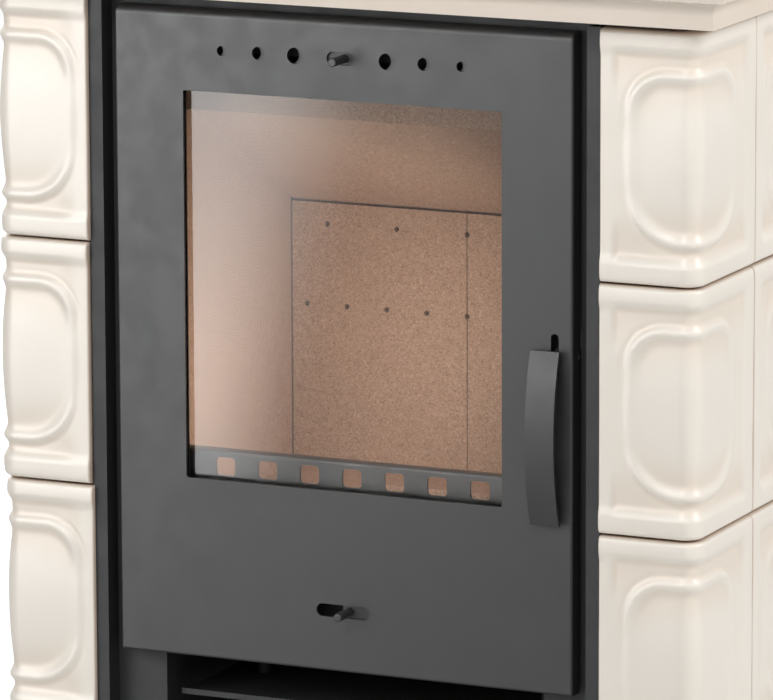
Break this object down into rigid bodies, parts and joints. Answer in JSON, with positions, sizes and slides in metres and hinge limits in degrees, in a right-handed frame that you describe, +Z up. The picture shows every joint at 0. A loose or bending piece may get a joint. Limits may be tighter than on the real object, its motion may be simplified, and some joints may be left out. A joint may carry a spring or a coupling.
{
  "type": "tiled wood stove",
  "caption": "Upright wood stove clad in glazed relief tiles, with a moulded top slab, a glazed steel fire door, air sliders, a log niche and a flue collar on top.",
  "frame": {"origin": "on the floor, under the middle of the whole stove's bounding box", "axes": "+X to the viewer's right when facing the door, -Y out of the door towards the viewer, +Z up"},
  "size_m": [0.74, 0.495, 1.03],
  "materials": {
    "glazed_tile": "gloss",
    "dark_paint": "satin",
    "galvanised_sheet": "satin",
    "black_steel": "matte",
    "lining_board": "matte",
    "cast_iron": "matte",
    "bare_steel": "satin",
    "bright_steel": "satin",
    "fire_glass": "gloss",
    "seal_rope": "matte"
  },
  "bodies": {
    "stove": {"tile_front_left_1": "glazed_tile", "tile_front_left_2": "glazed_tile", "tile_front_left_3": "glazed_tile", "tile_front_left_4": "glazed_tile", "tile_front_right_1": "glazed_tile", "tile_front_right_2": "glazed_tile", "tile_front_right_3": "glazed_tile", "tile_front_right_4": "glazed_tile", "tile_side_left_1": "glazed_tile", "tile_side_left_2": "glazed_tile", "tile_side_left_3": "glazed_tile", "tile_side_left_4": "glazed_tile", "tile_side_right_1": "glazed_tile", "tile_side_right_2": "glazed_tile", "tile_side_right_3": "glazed_tile", "tile_side_right_4": "glazed_tile", "tiles_rear_left": "glazed_tile", "tiles_rear_right": "glazed_tile", "plinth": "dark_paint", "levelling_feet": "black_steel", "top_slab": "glazed_tile", "cover_strip_left": "dark_paint", "cover_strip_right": "dark_paint", "side_casing_left": "black_steel", "side_casing_right": "black_steel", "back_panel": "galvanised_sheet", "front_frame": "dark_paint", "niche_liner": "dark_paint", "heat_shield": "dark_paint", "shield_spacers": "dark_paint", "firebox_shell": "black_steel", "side_board_left": "lining_board", "side_board_right": "lining_board", "back_board_left": "lining_board", "back_board_right": "lining_board", "hearth_bricks": "lining_board", "grate": "cast_iron", "baffle": "lining_board", "ember_bar": "bare_steel", "ash_box": "black_steel", "ash_pan": "black_steel", "flue_collar": "cast_iron", "air_spigot": "black_steel", "hinge_knuckles": "black_steel"},
    "door": {"door_panel": "dark_paint", "window_glass": "fire_glass", "glass_gasket": "seal_rope", "glass_retainer": "black_steel", "retainer_screws": "bright_steel", "rope_channel": "black_steel", "door_rope": "seal_rope", "slider_guides": "bright_steel", "hinge_brackets": "black_steel", "shaft_bearing": "black_steel"},
    "handle": {"handle_grip": "dark_paint", "latch_shaft": "black_steel"},
    "upper_air": {"upper_air_slider": "black_steel", "upper_air_pin": "dark_paint"},
    "lower_air": {"lower_air_slider": "black_steel", "lower_air_pin": "dark_paint"}
  },
  "joints": [
    {"name": "door_swing", "type": "hinge", "parent": "stove", "child": "door", "pos_m": [-0.212, -0.1975, 0.64195], "axis": [0, 0, -1], "range_deg": [0, 100]},
    {"name": "handle_lift", "type": "hinge", "parent": "door", "child": "handle", "pos_m": [0.209, -0.1971, 0.65], "axis": [-1, 0, 0], "range_deg": [0, 24]},
    {"name": "upper_air_slide", "type": "slide", "parent": "door", "child": "upper_air", "axis": [1, 0, 0], "range_m": [-0.012, 0.006]},
    {"name": "lower_air_slide", "type": "slide", "parent": "door", "child": "lower_air", "axis": [1, 0, 0], "range_m": [-0.026, 0.016]}
  ]
}
